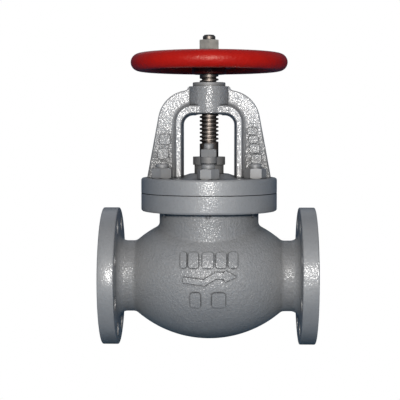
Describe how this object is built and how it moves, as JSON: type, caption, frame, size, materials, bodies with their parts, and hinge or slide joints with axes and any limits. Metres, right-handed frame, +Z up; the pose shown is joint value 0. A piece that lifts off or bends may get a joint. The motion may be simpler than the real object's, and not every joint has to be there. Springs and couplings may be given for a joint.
{
  "type": "globe valve",
  "caption": "Flanged globe valve with bolted bonnet, integral yoke, rising threaded stem and spoked handwheel that lifts a disc off its seat.",
  "frame": {"origin": "centre of the inlet flange's face, on the pipe's axis", "axes": "+X along the flow from inlet to outlet, +Z up the stem, -Y towards the valve's front, which carries the flow arrow"},
  "size_m": [0.27, 0.199, 0.3943],
  "materials": {
    "paint_grey": "silver-grey paint over rough sand-cast iron",
    "paint_grey_steel": "silver-grey paint over machined steel",
    "paint_red": "glossy red enamel",
    "stem_steel": "bare turned steel, slightly brown",
    "nut_steel": "bare machined steel, matt",
    "bronze": "turned bronze",
    "packing_grey": "graphited braided packing",
    "gasket_grey": "dark sheet gasket"
  },
  "bodies": {
    "valve_body": {"valve_body": "paint_grey", "seat_ring": "bronze", "bonnet_gasket": "gasket_grey", "bonnet": "paint_grey", "back_seat_bush": "bronze", "packing_washer": "bronze", "packing_ring_1": "packing_grey", "packing_ring_2": "packing_grey", "packing_ring_3": "packing_grey", "packing_ring_4": "packing_grey", "packing_ring_5": "packing_grey", "gland": "paint_grey", "gland_stud_front": "paint_grey_steel", "gland_stud_rear": "paint_grey_steel", "gland_nut_front": "paint_grey_steel", "gland_nut_rear": "paint_grey_steel", "yoke_bush": "bronze", "yoke_bush_screw": "nut_steel", "bonnet_stud_1": "paint_grey_steel", "bonnet_stud_2": "paint_grey_steel", "bonnet_stud_3": "paint_grey_steel", "bonnet_stud_4": "paint_grey_steel", "bonnet_stud_5": "paint_grey_steel", "bonnet_stud_6": "paint_grey_steel", "bonnet_nut_1": "paint_grey_steel", "bonnet_nut_2": "paint_grey_steel", "bonnet_nut_3": "paint_grey_steel", "bonnet_nut_4": "paint_grey_steel", "bonnet_nut_5": "paint_grey_steel", "bonnet_nut_6": "paint_grey_steel"},
    "disc": {"disc": "bronze", "disc_nut": "bronze", "disc_lock_screw": "nut_steel"},
    "stem": {"stem": "stem_steel", "handwheel": "paint_red", "handwheel_washer": "nut_steel", "handwheel_nut": "nut_steel"}
  },
  "joints": [
    {"name": "disc_lift", "type": "slide", "parent": "valve_body", "child": "disc", "axis": [0, 0, 1], "range_m": [0, 0.02]},
    {"name": "handwheel_turn", "type": "hinge", "parent": "disc", "child": "stem", "pos_m": [0.135, 0, 0.2716], "axis": [0, 0, 1], "range_deg": [0, 1440]}
  ],
  "couplings": [
    {"joint": "disc_lift", "follows": "handwheel_turn", "m_per_rad": 0.00079577}
  ]
}
